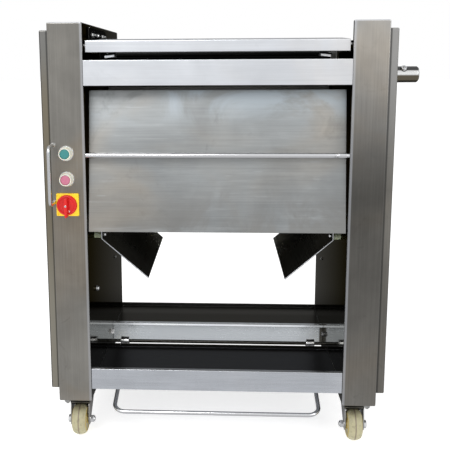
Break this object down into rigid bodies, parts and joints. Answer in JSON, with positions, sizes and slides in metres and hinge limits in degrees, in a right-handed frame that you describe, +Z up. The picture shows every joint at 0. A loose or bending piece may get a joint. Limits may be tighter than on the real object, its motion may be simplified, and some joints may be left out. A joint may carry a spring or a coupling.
{
  "type": "open-top skinning machine",
  "caption": "Free-standing stainless steel food skinning machine on castors, with a hinged feed table, toothed roller and blade, side housings, crate trays and a foot pedal.",
  "frame": {"origin": "on the floor, at the middle of the overall footprint", "axes": "+X to the operator's right, +Y away from the operator, +Z up"},
  "size_m": [0.8536, 0.5996, 0.984],
  "materials": {
    "housing_steel": "vertical brushed grain, satin",
    "sheet_steel": "cloudy brushed grain, satin",
    "bright_steel": "horizontal brushed grain, bright",
    "polished_steel": "polished",
    "zinc_fork": "dull zinc plated",
    "machine_grey": "satin paint",
    "pulley_steel": "turned",
    "belt_rubber": "matt",
    "wheel_nylon": "cream cast nylon",
    "block_nylon": "white nylon",
    "boot_rubber": "translucent pale boot",
    "start_green": "satin",
    "stop_red": "satin",
    "switch_yellow": "satin",
    "switch_red": "satin"
  },
  "bodies": {
    "frame": {"left_housing": "housing_steel", "right_housing": "housing_steel", "left_side_cover": "housing_steel", "right_side_cover": "housing_steel", "cross_beam": "bright_steel", "front_panel": "sheet_steel", "hopper_back": "sheet_steel", "rear_cover": "sheet_steel", "left_deflector": "sheet_steel", "right_deflector": "sheet_steel", "deflector_block_left": "block_nylon", "deflector_block_right": "block_nylon", "front_tray": "bright_steel", "rear_tray": "bright_steel", "panel_bar": "polished_steel", "blade_bracket_left": "sheet_steel", "blade_bracket_right": "sheet_steel", "bracket_bolt_front": "polished_steel", "bracket_bolt_rear": "polished_steel", "blade_holder": "bright_steel", "skinning_blade": "polished_steel", "outfeed_plate": "bright_steel", "roller_bearing_left": "pulley_steel", "roller_bearing_right": "pulley_steel", "gear_motor": "machine_grey", "drive_belt": "belt_rubber", "grab_handle": "polished_steel", "start_button_boot": "boot_rubber", "stop_button_boot": "boot_rubber", "switch_plate": "switch_yellow", "pedal_shaft": "polished_steel", "bar_sleeve": "polished_steel"},
    "feed_table": {"top_table": "bright_steel", "table_pin_left": "polished_steel", "table_pin_right": "polished_steel"},
    "roller": {"feed_roller": "sheet_steel", "roller_pulley": "pulley_steel"},
    "motor_drive": {"motor_shaft": "polished_steel", "motor_pulley": "pulley_steel"},
    "adjuster": {"adjust_shaft": "polished_steel", "shaft_hub": "housing_steel", "hub_screw": "polished_steel", "stripper_comb": "sheet_steel"},
    "start_push": {"start_button": "start_green"},
    "stop_push": {"stop_button": "stop_red"},
    "main_switch": {"switch_knob": "switch_red"},
    "pedal": {"pedal_frame": "polished_steel"},
    "castor_front_left": {"castor_front_left_fork": "zinc_fork", "castor_front_left_axle": "polished_steel"},
    "castor_front_left_roll": {"castor_front_left_wheel": "wheel_nylon"},
    "castor_front_right": {"castor_front_right_fork": "zinc_fork", "castor_front_right_axle": "polished_steel"},
    "castor_front_right_roll": {"castor_front_right_wheel": "wheel_nylon"},
    "castor_rear_left": {"castor_rear_left_fork": "zinc_fork", "castor_rear_left_axle": "polished_steel"},
    "castor_rear_left_roll": {"castor_rear_left_wheel": "wheel_nylon"},
    "castor_rear_right": {"castor_rear_right_fork": "zinc_fork", "castor_rear_right_axle": "polished_steel"},
    "castor_rear_right_roll": {"castor_rear_right_wheel": "wheel_nylon"}
  },
  "joints": [
    {"name": "table_hinge", "type": "hinge", "parent": "frame", "child": "feed_table", "pos_m": [-0.03275, -0.23123, 0.934], "axis": [1, 0, 0], "range_deg": [0, 95]},
    {"name": "roller_spin", "type": "hinge", "parent": "frame", "child": "roller", "pos_m": [-0.03275, -0.01622, 0.88], "axis": [1, 0, 0], "continuous": true},
    {"name": "motor_spin", "type": "hinge", "parent": "frame", "child": "motor_drive", "pos_m": [-0.03275, 0.21077, 0.69], "axis": [1, 0, 0], "continuous": true},
    {"name": "stripper_adjust", "type": "hinge", "parent": "frame", "child": "adjuster", "pos_m": [-0.03275, -0.13123, 0.867], "axis": [1, 0, 0], "range_deg": [-30, 0]},
    {"name": "start_press", "type": "slide", "parent": "frame", "child": "start_push", "axis": [0, 1, 0], "range_m": [0, 0.004], "stiffness_N_per_m": 200, "springref_m": -0.002},
    {"name": "stop_press", "type": "slide", "parent": "frame", "child": "stop_push", "axis": [0, 1, 0], "range_m": [0, 0.004], "stiffness_N_per_m": 200, "springref_m": -0.002},
    {"name": "main_switch_turn", "type": "hinge", "parent": "frame", "child": "main_switch", "pos_m": [-0.36775, -0.25122, 0.582], "axis": [0, 1, 0], "range_deg": [-90, 0]},
    {"name": "pedal_press", "type": "hinge", "parent": "frame", "child": "pedal", "pos_m": [-0.03275, 0.02577, 0.1545], "axis": [1, 0, 0], "range_deg": [0, 6]},
    {"name": "castor_front_left_swivel", "type": "hinge", "parent": "frame", "child": "castor_front_left", "pos_m": [-0.36375, -0.16223, 0.109], "axis": [0, 0, 1], "continuous": true},
    {"name": "castor_front_left_spin", "type": "hinge", "parent": "castor_front_left", "child": "castor_front_left_roll", "pos_m": [-0.36375, -0.19523, 0.0375], "axis": [1, 0, 0], "continuous": true},
    {"name": "castor_front_right_swivel", "type": "hinge", "parent": "frame", "child": "castor_front_right", "pos_m": [0.29825, -0.16223, 0.109], "axis": [0, 0, 1], "continuous": true},
    {"name": "castor_front_right_spin", "type": "hinge", "parent": "castor_front_right", "child": "castor_front_right_roll", "pos_m": [0.29825, -0.19523, 0.0375], "axis": [1, 0, 0], "continuous": true},
    {"name": "castor_rear_left_swivel", "type": "hinge", "parent": "frame", "child": "castor_rear_left", "pos_m": [-0.36375, 0.22678, 0.109], "axis": [0, 0, 1], "continuous": true},
    {"name": "castor_rear_left_spin", "type": "hinge", "parent": "castor_rear_left", "child": "castor_rear_left_roll", "pos_m": [-0.36375, 0.19378, 0.0375], "axis": [1, 0, 0], "continuous": true},
    {"name": "castor_rear_right_swivel", "type": "hinge", "parent": "frame", "child": "castor_rear_right", "pos_m": [0.29825, 0.22678, 0.109], "axis": [0, 0, 1], "continuous": true},
    {"name": "castor_rear_right_spin", "type": "hinge", "parent": "castor_rear_right", "child": "castor_rear_right_roll", "pos_m": [0.29825, 0.19378, 0.0375], "axis": [1, 0, 0], "continuous": true}
  ],
  "couplings": [
    {"joint": "motor_spin", "follows": "roller_spin", "ratio": 1.5}
  ]
}
